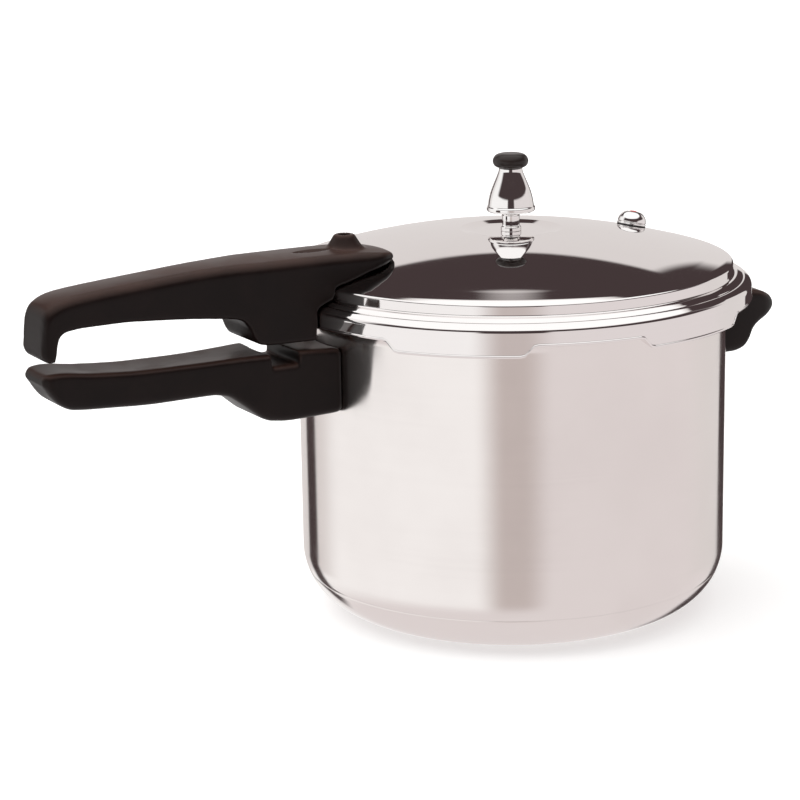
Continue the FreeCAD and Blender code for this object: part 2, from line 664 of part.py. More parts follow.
valve_nut = less("valve_nut_solid", hexagon("valve_nut_blank", 16, -9.2, -4.2),
                 [rod("valve_nut_bore", 0, 0, -11, -3, 4.9)])
node(on_valve(valve_nut), "valve_nut")


# ---------------------------------------------------------------- check and save

doc.recompute()
for obj in doc.Objects:
    if "Invalid" in obj.State or "Error" in obj.State:
        raise RuntimeError("%s did not rebuild: %s" % (obj.Name, obj.State))
for obj in nodes:
    if obj.Shape.isNull() or not obj.Shape.isValid() or not obj.Shape.Solids:
        raise RuntimeError("%s has no valid solid" % obj.Label)
    print("%-24s %2d solid %9.1f mm3" % (obj.Label, len(obj.Shape.Solids), obj.Shape.Volume))
    obj.Shape.exportStep("parts/%s.step" % obj.Label)
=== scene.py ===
# %% [markdown]
# # The looks of a polished pressure canner
#
# The canner is a deep spun-aluminium pot under a domed lid, with two long moulded handles
# that lie one above the other, a short helper handle, a weighted regulator, a relief valve
# and a pressure lock pin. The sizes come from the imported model, which this script loads as
# a fixed frame. Here the smooth surfaces and the finishes are made around that frame.

# %% Load the frame
import json
import math

import bmesh
import bpy
from mathutils import Matrix, Vector

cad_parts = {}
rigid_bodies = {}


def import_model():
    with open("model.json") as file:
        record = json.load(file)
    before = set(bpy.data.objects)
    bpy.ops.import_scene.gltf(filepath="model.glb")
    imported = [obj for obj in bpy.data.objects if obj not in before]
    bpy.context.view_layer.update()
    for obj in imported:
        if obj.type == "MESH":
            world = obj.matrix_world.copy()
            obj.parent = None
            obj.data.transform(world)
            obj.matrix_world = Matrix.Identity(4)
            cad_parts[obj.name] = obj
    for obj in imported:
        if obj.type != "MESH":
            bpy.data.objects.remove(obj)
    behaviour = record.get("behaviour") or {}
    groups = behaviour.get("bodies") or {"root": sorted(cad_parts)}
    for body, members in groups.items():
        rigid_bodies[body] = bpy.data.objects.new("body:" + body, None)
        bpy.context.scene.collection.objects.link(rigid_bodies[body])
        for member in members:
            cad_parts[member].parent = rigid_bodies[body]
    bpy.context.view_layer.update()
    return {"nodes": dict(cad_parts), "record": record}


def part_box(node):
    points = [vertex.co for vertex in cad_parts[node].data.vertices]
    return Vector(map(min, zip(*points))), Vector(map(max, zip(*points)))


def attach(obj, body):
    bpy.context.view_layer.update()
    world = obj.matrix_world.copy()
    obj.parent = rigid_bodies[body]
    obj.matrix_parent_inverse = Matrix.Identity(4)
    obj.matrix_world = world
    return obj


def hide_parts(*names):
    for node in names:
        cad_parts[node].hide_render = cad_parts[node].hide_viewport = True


for leftover in list(bpy.data.objects):
    bpy.data.objects.remove(leftover)
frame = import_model()
scene = bpy.context.scene
scene.view_settings.view_transform = "Standard"

# %% [markdown]
# ## The camera
#
# The canner is seen from a little above, with the long handles pointing to the left and
# slightly away. A long lens keeps its sides nearly upright. A camera can be aimed with a
# Track To constraint, but this one is rolled by less than a degree, so its three axes are
# worked out from a heading, a tilt and a roll, and set as one matrix.

# %% Camera
CAMERA_TURN = math.radians(32.0)      # round from the -Y side, towards the handles
CAMERA_HEADING = math.radians(30.1)   # the way it looks, a little off the pot's middle
CAMERA_TILT = math.radians(14.68)
CAMERA_ROLL = -0.0139
CAMERA_DISTANCE = 1.4752
AIM_HEIGHT = 0.0979
LENS_MM = 116.73
SENSOR_MM = 36.0
LENS_SHIFT = (-0.0359, 0.0366)        # moves the canner off the middle of the frame


def make_camera():
    data = bpy.data.cameras.new("camera")
    data.lens = LENS_MM
    data.sensor_width = SENSOR_MM
    data.shift_x, data.shift_y = LENS_SHIFT
    data.clip_start = 0.05
    data.clip_end = 50
    camera = bpy.data.objects.new("camera", data)
    scene.collection.objects.link(camera)
    level = math.cos(CAMERA_TILT)
    forward = Vector((math.sin(CAMERA_HEADING) * level, math.cos(CAMERA_HEADING) * level,
                      -math.sin(CAMERA_TILT)))
    right = Vector((math.cos(CAMERA_HEADING), -math.sin(CAMERA_HEADING), 0))
    up = right.cross(forward)
    cosine, sine = math.cos(CAMERA_ROLL), math.sin(CAMERA_ROLL)
    across = right * cosine + up * sine
    upright = up * cosine - right * sine
    reach = CAMERA_DISTANCE * level
    place = Vector((-math.sin(CAMERA_TURN) * reach, -math.cos(CAMERA_TURN) * reach,
                    AIM_HEIGHT + CAMERA_DISTANCE * math.sin(CAMERA_TILT)))
    turn = Matrix((across, upright, -forward)).transposed()
    camera.matrix_world = Matrix.Translation(place) @ turn.to_4x4()
    scene.camera = camera
    return camera


camera = make_camera()
print("camera at", [round(c, 3) for c in camera.matrix_world.translation])

# %% [markdown]
# ## Node helpers
#
# Polished metal looks like whatever it mirrors, so both the studio and the finishes are
# node trees. A few short helpers keep those trees readable: one adds a node and plugs its
# inputs, one does sums, and one makes a soft-edged band out of any value.


# %% Node helpers
def add(tree, kind, inputs=None, **settings):
    """A new node, with its settings, and each input either linked or given a number."""
    node = tree.nodes.new(kind)
    for name, value in settings.items():
        setattr(node, name, value)
    for name, value in (inputs or {}).items():
        if isinstance(value, bpy.types.NodeSocket):
            tree.links.new(value, node.inputs[name])
        else:
            node.inputs[name].default_value = value
    return node


def sums(tree, operation, a, b=0.0):
    return add(tree, "ShaderNodeMath", {0: a, 1: b}, operation=operation).outputs[0]


def fade(tree, value, start, stop, low=0.0, high=1.0):
    """Runs smoothly from low to high while value runs from start to stop."""
    made = add(tree, "ShaderNodeMapRange", {"Value": value, "From Min": start, "From Max": stop,
                                            "To Min": low, "To Max": high},
               interpolation_type="SMOOTHSTEP")
    return made.outputs["Result"]


def band(tree, value, start, stop, soft):
    """1 between start and stop, falling to 0 over soft on each side."""
    rise = fade(tree, value, start - soft, start + soft)
    fall = fade(tree, value, stop - soft, stop + soft, 1.0, 0.0)
    return sums(tree, "MULTIPLY", rise, fall)


def blend_colour(tree, amount, first, second):
    """A mix of two colours, as the output socket of a Mix node."""
    node = add(tree, "ShaderNodeMix", data_type="RGBA")
    for name, value in (("Factor_Float", amount), ("A_Color", first), ("B_Color", second)):
        socket = next(s for s in node.inputs if s.identifier == name)
        if isinstance(value, bpy.types.NodeSocket):
            tree.links.new(value, socket)
        else:
            socket.default_value = value if isinstance(value, float) else (*value, 1.0)
    return next(s for s in node.outputs if s.identifier == "Result_Color")


# %% [markdown]
# ## The studio
#
# Chrome is lit by what it mirrors: a pale sweep behind, a bright soft panel to the left,
# another overhead, and dark gaps between them that draw a crisp edge down each side of the
# pot and a dark crescent on the dome. Panels could be built as
# glowing planes, but they would stand in the way of a camera that walks round the canner.
# So the panels are painted on the world sphere instead, as bands of heading and height.
# A broad sun gives the floor its soft shadow.

# %% Studio
PALE = (1.0, 0.985, 0.975)
BLUSH = (0.80, 0.745, 0.74)
HAZY = (0.76, 0.72, 0.705)
SHADE = (0.60, 0.53, 0.51)
DARK = (0.062, 0.044, 0.045)
OVERHEAD = (1.15, 1.15, 1.14)

# Headings and heights in degrees; heading 0 is towards the camera, 90 to its right.
SOFT_SIDE = (3, 148)          # the blush panel on the right
CAMERA_SIDE = (-12, 14)       # the dim room behind the camera
CRESCENT_GAP = (27.5, 42)     # heights between the sweep and the overhead panel
EDGE_GAPS = ((148, 168), (-148, -133))
EDGE_GAP_HEIGHTS = (-38, 40)
TALL_CARD, TALL_CARD_HEIGHTS = (-15, 17), (2, 40)
WIDE_CARD, WIDE_CARD_HEIGHTS = (-75, 118), (16, 40)
SUN_STRENGTH, SUN_SPREAD = 1.1, math.radians(70)
SUN_LEAN = (math.radians(-18), math.radians(-22), 0)
FLOOR_REACH = 12.0


def make_studio():
    world = bpy.data.worlds.new("studio")
    scene.world = world
    world.use_nodes = True
    tree = world.node_tree
    tree.nodes.clear()
    look = add(tree, "ShaderNodeTexCoord").outputs["Generated"]
    towards = (-math.sin(CAMERA_TURN), -math.cos(CAMERA_TURN), 0.0)
    sideways = (math.cos(CAMERA_TURN), -math.sin(CAMERA_TURN), 0.0)
    near = add(tree, "ShaderNodeVectorMath", {0: look, 1: towards}, operation="DOT_PRODUCT")
    side = add(tree, "ShaderNodeVectorMath", {0: look, 1: sideways}, operation="DOT_PRODUCT")
    axis = add(tree, "ShaderNodeSeparateXYZ", {0: look})
    to_degrees = 180 / math.pi
    heading = sums(tree, "MULTIPLY", sums(tree, "ARCTAN2", side.outputs["Value"],
                                          near.outputs["Value"]), to_degrees)
    height = sums(tree, "MULTIPLY", sums(tree, "ARCSINE", axis.outputs["Z"]), to_degrees)

    def over(colour, paint, *bands):
        mask = bands[0]
        for other in bands[1:]:
            mask = sums(tree, "MULTIPLY", mask, other)
        return blend_colour(tree, mask, colour, paint)

    colour = over(PALE, BLUSH, band(tree, heading, *SOFT_SIDE, 7))
    colour = over(colour, SHADE, band(tree, heading, *CAMERA_SIDE, 9),
                  band(tree, height, -90, 30, 8))
    colour = over(colour, BLUSH, fade(tree, height, -24, -44))
    behind = sums(tree, "MAXIMUM", fade(tree, heading, 100, 130), fade(tree, heading, -105, -128))
    colour = over(colour, HAZY, behind, fade(tree, height, -24, -20))
    colour = over(colour, DARK, behind, band(tree, height, *CRESCENT_GAP, 0.7))
    for gap in EDGE_GAPS:
        colour = over(colour, DARK, band(tree, heading, *gap, 0.7),
                      band(tree, height, *EDGE_GAP_HEIGHTS, 3))
    colour = over(colour, DARK, band(tree, heading, *TALL_CARD, 3),
                  band(tree, height, *TALL_CARD_HEIGHTS, 2))
    colour = over(colour, DARK, band(tree, heading, *WIDE_CARD, 9),
                  band(tree, height, *WIDE_CARD_HEIGHTS, 2))
    colour = over(colour, OVERHEAD, fade(tree, height, 42, 45))
    eye = add(tree, "ShaderNodeLightPath").outputs["Is Camera Ray"]
    colour = blend_colour(tree, eye, colour, (1.0, 1.0, 1.0))
    glow = add(tree, "ShaderNodeBackground", {"Color": colour, "Strength": 1.0})
    out = add(tree, "ShaderNodeOutputWorld")
    tree.links.new(glow.outputs[0], out.inputs["Surface"])


def make_sun():
    data = bpy.data.lights.new("soft_sun", "SUN")
    data.energy = SUN_STRENGTH
    data.angle = SUN_SPREAD
    sun = bpy.data.objects.new("soft_sun", data)
    scene.collection.objects.link(sun)
    sun.rotation_euler = SUN_LEAN
    sun.visible_glossy = False


def make_floor():
    mesh = bpy.data.meshes.new("studio_floor")
    corners = ((-1, -1), (1, -1), (1, 1), (-1, 1))
    mesh.from_pydata([(x * FLOOR_REACH, y * FLOOR_REACH, 0) for x, y in corners], [],
                     [(0, 1, 2, 3)])
    floor = bpy.data.objects.new("studio_floor", mesh)
    scene.collection.objects.link(floor)
    paint = bpy.data.materials.new("pale_floor")
    paint.use_nodes = True
    shader = paint.node_tree.nodes["Principled BSDF"]
    shader.inputs["Base Color"].default_value = (0.88, 0.88, 0.88, 1)
    shader.inputs["Emission Color"].default_value = (1, 1, 1, 1)
    shader.inputs["Emission Strength"].default_value = 0.42
    shader.inputs["Roughness"].default_value = 0.9
    shader.inputs["Specular IOR Level"].default_value = 0.1
    mesh.materials.append(paint)
    floor.visible_glossy = False


make_studio()
make_sun()
make_floor()
print("studio ready")

# %% [markdown]
# ## Sizes taken from the frame
#
# Every smooth piece has to sit exactly where its CAD piece sits. The few leading sizes are
# read off the boxes of the CAD nodes: the rim's height, the skirt's radius, the top of the
# dome, the foot of the regulator. The rest are offsets from those, as on a drawing. All
# outlines are written in millimetres, and the mesh builders turn them into metres.

# %% Leading sizes
MM = 0.001
SKIRT_REACH = 14.4    # how far the lid's skirt stands out from the pot's wall
DOME_RISE = 16.7
SHEET = 2.5
LUG_TURN = math.radians(16)
LUG_SWEEP = math.radians(28)


def box_mm(name):
    """The low and high corners of a CAD node's box, in millimetres."""
    low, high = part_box(name)
    return low / MM, high / MM


rim = box_mm("pot_body")[1].z
lid_low, lid_high = box_mm("lid")
skirt_radius, crown, skirt_foot = lid_high.x, lid_high.z, lid_low.z
wall_radius = skirt_radius - SKIRT_REACH
shoulder = crown - DOME_RISE
handle_low, handle_high = box_mm("lid_handle")
handle_tip, boss_top = -handle_low.x, handle_high.z
helper_end = box_mm("helper_handle")[1].x
weight_low, weight_high = box_mm("regulator_weight")
knob_low, knob_high = box_mm("regulator_knob")
pin_low, pin_high = box_mm("lock_pin")
boss_place = (pin_low.x + pin_high.x) / 2
print("wall radius %.1f mm, rim %.1f mm, crown %.1f mm" % (wall_radius, rim, crown))

# %% [markdown]
# ## Mesh helpers
#
# Almost everything on the canner is spun, turned or moulded. A turned piece is a side
# outline swept round an axis. Blender has a Screw modifier for that, but building the rings
# in code lets the outline change with the angle, which the six lugs need. Every corner of
# an outline is eased with a small curve, because a polished edge shows as a thin glint.


# %% Outline and lathe helpers
def eased(points, closed, steps=5):
    """The outline with each corner rounded; a point is (radius, height, easing)."""
    made = []
    for i, point in enumerate(points):
        here = Vector(point[:2])
        ease = point[2] if len(point) > 2 else 0
        if ease <= 0 or (not closed and i in (0, len(points) - 1)):
            made.append(here)
            continue
        back = Vector(points[i - 1][:2]) - here
        ahead = Vector(points[(i + 1) % len(points)][:2]) - here
        reach = min(ease, back.length * 0.48, ahead.length * 0.48)
        start, stop = here + back.normalized() * reach, here + ahead.normalized() * reach
        for k in range(steps + 1):
            t = k / steps
            made.append(start * (1 - t) ** 2 + here * 2 * t * (1 - t) + stop * t ** 2)
    return made


def arc(centre, radius, first, last, steps):
    """Points on a circle in the outline's plane, from one angle to another, in degrees."""
    made = []
    for k in range(steps + 1):
        turn = math.radians(first + (last - first) * k / steps)
        made.append((centre[0] + radius * math.cos(turn), centre[1] + radius * math.sin(turn)))
    return made


def bowed(start, stop, bend, steps):
    """Points on a shallow arc of radius bend between two points, bowed upwards."""
    a, b = Vector(start), Vector(stop)
    half = (b - a) / 2
    up = Vector((-half.y, half.x)).normalized()
    up = up if up.y > 0 else -up
    drop = math.sqrt(bend ** 2 - half.length ** 2)
    centre = (a + b) / 2 - up * drop
    first = math.atan2(a.y - centre.y, a.x - centre.x)
    last = math.atan2(b.y - centre.y, b.x - centre.x)
    return arc(centre, bend, math.degrees(first), math.degrees(last), steps)


def finish_mesh(name, mesh, body, nodes=(), material=None):
    """Links the mesh as a smooth piece that rides on its body and stands for its nodes."""
    piece = bpy.data.objects.new(name, mesh)
    scene.collection.objects.link(piece)
    for face in mesh.polygons:
        face.use_smooth = True
    if material:
        mesh.materials.append(material)
    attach(piece, body)
    if nodes:
        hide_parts(*nodes)
    return piece


def lathe_mesh(name, outline, sides=192, middle=(0.0, 0.0), other=None, share=None):
    """Sweeps an outline round a vertical axis; other and share let it change with angle."""
    bm = bmesh.new()
    rings = []
    solid = outline[0][0] < 1e-7 and outline[-1][0] < 1e-7
    for i, (radius, height) in enumerate(outline):
        if radius < 1e-7:
            rings.append([bm.verts.new(Vector((middle[0], middle[1], height)) * MM)])
            continue
        ring = []
        for k in range(sides):
            turn = 2 * math.pi * k / sides
            r, z = radius, height
            if other:
                t = share(turn)
                r, z = r + (other[i][0] - r) * t, z + (other[i][1] - z) * t
            ring.append(bm.verts.new(Vector((middle[0] + r * math.cos(turn),
                                             middle[1] + r * math.sin(turn), z)) * MM))
        rings.append(ring)
    pairs = list(zip(rings, rings[1:])) + ([] if solid else [(rings[-1], rings[0])])
    for low, high in pairs:
        for k in range(sides):
            n = (k + 1) % sides
            corners = [low[k % len(low)], low[n % len(low)], high[n % len(high)],
                       high[k % len(high)]]
            unique = list(dict.fromkeys(corners))
            if len(unique) > 2:
                bm.faces.new(unique)
    bmesh.ops.recalc_face_normals(bm, faces=bm.faces)
    mesh = bpy.data.meshes.new(name)
    bm.to_mesh(mesh)
    bm.free()
    return mesh


def even_shading(piece):
    """Large faces lead the shading, so small easings don't bend what the metal mirrors."""
    modifier = piece.modifiers.new("even_shading", "WEIGHTED_NORMAL")
    modifier.weight = 100
    return piece


# %% [markdown]
# ## Shared finishes
#
# Four effects turn up on more than one material, so each is a node group with its own
# inputs. Lathe lines are the fine rings that a polishing wheel leaves. Haze is the faint
# cloudiness of handled metal. Moulding grain is the skin of compression-moulded resin.
# Edge touch finds worn corners from the curvature of the mesh.


# %% Shader groups
def new_group(name, inputs, outputs):
    tree = bpy.data.node_groups.new(name, "ShaderNodeTree")
    for label, kind, value in inputs:
        socket = tree.interface.new_socket(name=label, in_out="INPUT", socket_type=kind)
        if value is not None:
            socket.default_value = value
    for label, kind in outputs:
        tree.interface.new_socket(name=label, in_out="OUTPUT", socket_type=kind)
    return tree, add(tree, "NodeGroupInput"), add(tree, "NodeGroupOutput")


def lathe_lines_group():
    """Rings round Z: noise that is stretched along the wheel's path and fine across it."""
    tree, inside, out = new_group(
        "lathe_lines", [("Around", "NodeSocketFloat", 6.0), ("Across", "NodeSocketFloat", 900.0)],
        [("Lines", "NodeSocketFloat")])
    place = add(tree, "ShaderNodeTexCoord").outputs["Object"]
    axis = add(tree, "ShaderNodeSeparateXYZ", {0: place})
    round_x = sums(tree, "MULTIPLY", axis.outputs["X"], axis.outputs["X"])
    round_y = sums(tree, "MULTIPLY", axis.outputs["Y"], axis.outputs["Y"])
    radius = sums(tree, "SQRT", sums(tree, "ADD", round_x, round_y))
    spread = add(tree, "ShaderNodeCombineXYZ", {
        "X": sums(tree, "MULTIPLY", radius, inside.outputs["Across"]),
        "Y": sums(tree, "MULTIPLY", axis.outputs["Z"], inside.outputs["Across"]),
        "Z": sums(tree, "MULTIPLY", axis.outputs["X"], inside.outputs["Around"])})
    fine = add(tree, "ShaderNodeTexNoise", {"Vector": spread.outputs[0], "Scale": 1.0,
                                            "Detail": 2.0, "Roughness": 0.6})
    tree.links.new(fine.outputs["Fac"], out.inputs["Lines"])
    return tree


def haze_group():
    """Broad soft clouds, with small smudges inside them."""
    tree, inside, out = new_group("haze", [("Size", "NodeSocketFloat", 14.0)],
                                  [("Haze", "NodeSocketFloat")])
    place = add(tree, "ShaderNodeTexCoord").outputs["Object"]
    cloud = add(tree, "ShaderNodeTexNoise", {"Vector": place, "Scale": inside.outputs["Size"],
                                             "Detail": 4.0, "Roughness": 0.55})
    tree.links.new(fade(tree, cloud.outputs["Fac"], 0.35, 0.7), out.inputs["Haze"])
    return tree


def moulding_group():
    """The fine pebble of a steel mould, and the flow clouds of the resin under it."""
    tree, inside, out = new_group(
        "moulding_grain",
        [("Grain", "NodeSocketFloat", 1400.0), ("Flow", "NodeSocketFloat", 40.0)],
        [("Pebble", "NodeSocketFloat"), ("Clouds", "NodeSocketFloat")])
    place = add(tree, "ShaderNodeTexCoord").outputs["Object"]
    pebble = add(tree, "ShaderNodeTexNoise", {"Vector": place, "Scale": inside.outputs["Grain"],
                                              "Detail": 3.0})
    flow = add(tree, "ShaderNodeTexNoise", {"Vector": place, "Scale": inside.outputs["Flow"],
                                            "Detail": 5.0, "Distortion": 0.6})
    tree.links.new(pebble.outputs["Fac"], out.inputs["Pebble"])
    tree.links.new(fade(tree, flow.outputs["Fac"], 0.3, 0.75), out.inputs["Clouds"])
    return tree


def edge_touch_group():
    """Convex edges, broken up a little, where hands and cloths rub most."""
    tree, inside, out = new_group(
        "edge_touch", [("Start", "NodeSocketFloat", 0.52), ("Full", "NodeSocketFloat", 0.6)],
        [("Edge", "NodeSocketFloat")])
    bend = add(tree, "ShaderNodeNewGeometry").outputs["Pointiness"]
    rise = add(tree, "ShaderNodeMapRange", {"Value": bend, "From Min": inside.outputs["Start"],
                                            "From Max": inside.outputs["Full"]})
    place = add(tree, "ShaderNodeTexCoord").outputs["Object"]
    breaks = add(tree, "ShaderNodeTexNoise", {"Vector": place, "Scale": 160.0, "Detail": 3.0})
    broken = fade(tree, breaks.outputs["Fac"], 0.3, 0.6)
    worn = sums(tree, "MULTIPLY", rise.outputs["Result"], broken)
    tree.links.new(worn, out.inputs["Edge"])
    return tree


LATHE_LINES = lathe_lines_group()
HAZE = haze_group()
MOULDING = moulding_group()
EDGE_TOUCH = edge_touch_group()


def put(tree, group, **inputs):
    """Places a shader group in a material with its own values."""
    node = add(tree, "ShaderNodeGroup", node_tree=group)
    for name, value in inputs.items():
        node.inputs[name].default_value = value
    return node


print("shader groups:", len(bpy.data.node_groups))

# %% [markdown]
# ## The metals
#
# The pot is satin: a wheel has left rings round it, so what it mirrors smears up and down
# but stays sharp from side to side. That is anisotropic gloss. The lid is buffed to a
# mirror, the small fittings are chromed, and the hidden brackets are plain zinc-plated
# steel. One maker builds them all and each gets its own tint, gloss and depth of lines.


# %% Metal finishes
def new_material(name):
    material = bpy.data.materials.new(name)
    material.use_nodes = True
    tree = material.node_tree
    return material, tree, tree.nodes["Principled BSDF"]


def metal(name, pale, dull, gloss, matt, lines=0.0, across=900.0, cloud=14.0, smear=0.0):
    """A metal between two tints and two roughnesses, with lathe lines of a given depth."""
    material, tree, shader = new_material(name)
    shader.inputs["Metallic"].default_value = 1.0
    haze = put(tree, HAZE, Size=cloud).outputs["Haze"]
    edge = put(tree, EDGE_TOUCH).outputs["Edge"]
    rings = put(tree, LATHE_LINES, Across=across).outputs["Lines"]
    tone = sums(tree, "MULTIPLY", sums(tree, "ADD", haze, rings), 0.5)
    colour = blend_colour(tree, tone, pale, dull)
    tree.links.new(colour, shader.inputs["Base Color"])
    rough = fade(tree, tone, 0.2, 0.8, gloss, matt)
    rough = sums(tree, "ADD", rough, sums(tree, "MULTIPLY", edge, 0.05))
    tree.links.new(rough, shader.inputs["Roughness"])
    if lines:
        bump = add(tree, "ShaderNodeBump", {"Height": rings, "Strength": lines,
                                            "Distance": 0.00002})
        tree.links.new(bump.outputs[0], shader.inputs["Normal"])
    if smear:
        shader.inputs["Anisotropic"].default_value = smear
        shader.inputs["Anisotropic Rotation"].default_value = 0.25
        around = add(tree, "ShaderNodeTangent", direction_type="RADIAL", axis="Z")
        tree.links.new(around.outputs[0], shader.inputs["Tangent"])
    return material


pot_metal = metal("satin_aluminium", (0.90, 0.865, 0.85), (0.86, 0.82, 0.805), 0.12, 0.18,
                  lines=0.1, smear=0.9)
lid_metal = metal("buffed_aluminium", (0.90, 0.875, 0.87), (0.87, 0.84, 0.835), 0.025, 0.05,
                  lines=0.03)
rack_metal = metal("dull_aluminium", (0.78, 0.77, 0.76), (0.66, 0.65, 0.64), 0.28, 0.42,
                   lines=0.2, across=300.0)
chrome = metal("chrome", (0.93, 0.92, 0.915), (0.88, 0.87, 0.865), 0.03, 0.07, cloud=120.0)
zinc_steel = metal("zinc_steel", (0.62, 0.61, 0.58), (0.45, 0.44, 0.42), 0.25, 0.45, lines=0.15,
                   cloud=90.0)
print("metals:", [m.name for m in (pot_metal, lid_metal, rack_metal, chrome, zinc_steel)])

# %% [markdown]
# ## Resin and rubber
#
# The handles are a black-brown phenolic: nearly black on the sides, with a soft brown painted
# highlight on the faces that look up, where the overhead light falls, and a faint pebble from
# the mould. The knob is the same resin, without that painted highlight. The seal is matt
# rubber, and the relief valve's plug is red.


# %% Moulded finishes
def moulded(name, deep, lit, gloss, matt, pebble=0.15, grain=1400.0, worn=None, sheen=0.5,
            painted_top_light=None):
    material, tree, shader = new_material(name)
    shader.inputs["Specular IOR Level"].default_value = sheen
    skin = put(tree, MOULDING, Grain=grain)
    edge = put(tree, EDGE_TOUCH, Start=0.515, Full=0.58).outputs["Edge"]
    colour = blend_colour(tree, skin.outputs["Clouds"], deep, lit)
    colour = blend_colour(tree, edge, colour, worn or lit)
    # Painted highlight: faces that look up are lightened towards a soft brown that stands in for
    # the overhead light falling on them, broken up a little by the resin's clouds.
    if painted_top_light:
        up = add(tree, "ShaderNodeNewGeometry").outputs["Normal"]
        level = add(tree, "ShaderNodeSeparateXYZ", {0: up}).outputs["Z"]
        amount = sums(tree, "MULTIPLY", fade(tree, level, 0.25, 0.95),
                      fade(tree, skin.outputs["Clouds"], 0.0, 1.0, 0.75, 1.0))
        colour = blend_colour(tree, amount, colour, painted_top_light)
    tree.links.new(colour, shader.inputs["Base Color"])
    rough = fade(tree, skin.outputs["Clouds"], 0.0, 1.0, gloss, matt)
    tree.links.new(rough, shader.inputs["Roughness"])
    bump = add(tree, "ShaderNodeBump", {"Height": skin.outputs["Pebble"], "Strength": pebble,
                                        "Distance": 0.00005})
    tree.links.new(bump.outputs[0], shader.inputs["Normal"])
    return material


# The last colour is a painted highlight that lightens the faces looking up, where the overhead
# light falls.
phenolic = moulded("phenolic", (0.0052, 0.0024, 0.0021), (0.0085, 0.0042, 0.0037), 0.34, 0.42,
                   worn=(0.026, 0.014, 0.011), sheen=0.16, painted_top_light=(0.055, 0.029, 0.023))
knob_resin = moulded("knob_resin", (0.016, 0.010, 0.009), (0.026, 0.017, 0.015), 0.3, 0.36,
                     pebble=0.08, sheen=0.35)
seal_rubber = moulded("seal_rubber", (0.010, 0.010, 0.010), (0.02, 0.02, 0.02), 0.55, 0.7,
                      pebble=0.3, grain=900.0)
red_rubber = moulded("red_rubber", (0.55, 0.035, 0.02), (0.62, 0.06, 0.035), 0.3, 0.4)
print("moulded finishes ready")

# %% [markdown]
# ## The pot
#
# A spun shell with a broad rounded bottom corner. A faint step runs round that corner where
# the flat bottom was pressed. The rim is thickened and carries six lugs that the lid turns
# under. The outline is written twice, once through a lug and once between two, with the
# same number of points, and the lathe passes from one to the other at each lug's end.

# %% Pot
BASE_CORNER = 34
FLOOR = 3.5
LUG_REACH = 10.9
SIDES = 360


def lug_share(lead):
    """How far a given angle is inside a lug: 1 in it, 0 outside, eased over the ends."""
    def share(turn):
        away = (turn - LUG_TURN + math.pi / 6) % (math.pi / 3) - math.pi / 6
        t = (LUG_SWEEP / 2 + lead / 2 - abs(away)) / lead
        t = min(max(t, 0.0), 1.0)
        return t * t * (3 - 2 * t)
    return share


def pot_outline(in_lug):
    inner_corner = BASE_CORNER - SHEET
    flare = wall_radius + 2.8
    reach = wall_radius + LUG_REACH if in_lug else flare
    corner = (wall_radius - BASE_CORNER, BASE_CORNER)
    step_turn = 20
    points = [(0, 0), (wall_radius - BASE_CORNER - 10, 0)]
    points += arc(corner, BASE_CORNER, -90, -step_turn - 0.6, 22)
    points += arc(corner, BASE_CORNER - 0.25, -step_turn - 0.2, -step_turn + 0.2, 1)
    points += arc(corner, BASE_CORNER, -step_turn + 0.6, 0, 8)
    points += [(wall_radius, BASE_CORNER + (rim - 14 - BASE_CORNER) * k / 6)
               for k in range(1, 6)]
    top = eased([(wall_radius, rim - 20), (wall_radius, rim - 14, 2),
                 (flare, rim - 10, 2), (flare, rim - 5.6, 0.3),
                 (reach, rim - 5.6, 0.6) if in_lug
                 else (flare, rim - 4.4, 0.3),
                 (reach, rim - 1.6, 0.6) if in_lug
                 else (flare, rim - 2.8, 0.3),
                 (flare, rim - 1.6, 0.3), (flare, rim, 0.7),
                 (wall_radius - SHEET, rim, 0.7),
                 (wall_radius - SHEET, rim - 12)], closed=False)
    points += [tuple(p) for p in top]
    points += [(wall_radius - SHEET, rim - 12 - (rim - 12 - BASE_CORNER) * k / 6)
               for k in range(1, 6)]
    inner = (wall_radius - BASE_CORNER, BASE_CORNER + FLOOR - SHEET)
    points += arc(inner, inner_corner, 0, -90, 20)
    points += [(0, FLOOR)]
    return points


pot = finish_mesh("pot_shell", lathe_mesh("pot_shell", pot_outline(False), SIDES,
                                          other=pot_outline(True),
                                          share=lug_share(math.radians(0.8))),
                  "pot", ["pot_body"], pot_metal)
even_shading(pot)
print("pot shell:", len(pot.data.polygons), "faces")

# %% [markdown]
# ## The lid
#
# The lid is one spun sheet: a shallow recess in the middle, the dome, a rounded shoulder,
# an upright ring wall, a beaded flange and a deep skirt. Over each lug the skirt's edge is
# rolled inwards, so the edge rises there in a soft S at each end. Again two outlines, with
# and without the roll, are blended by angle.

# %% Lid
DOME_BEND = 430
RECESS = 1.5


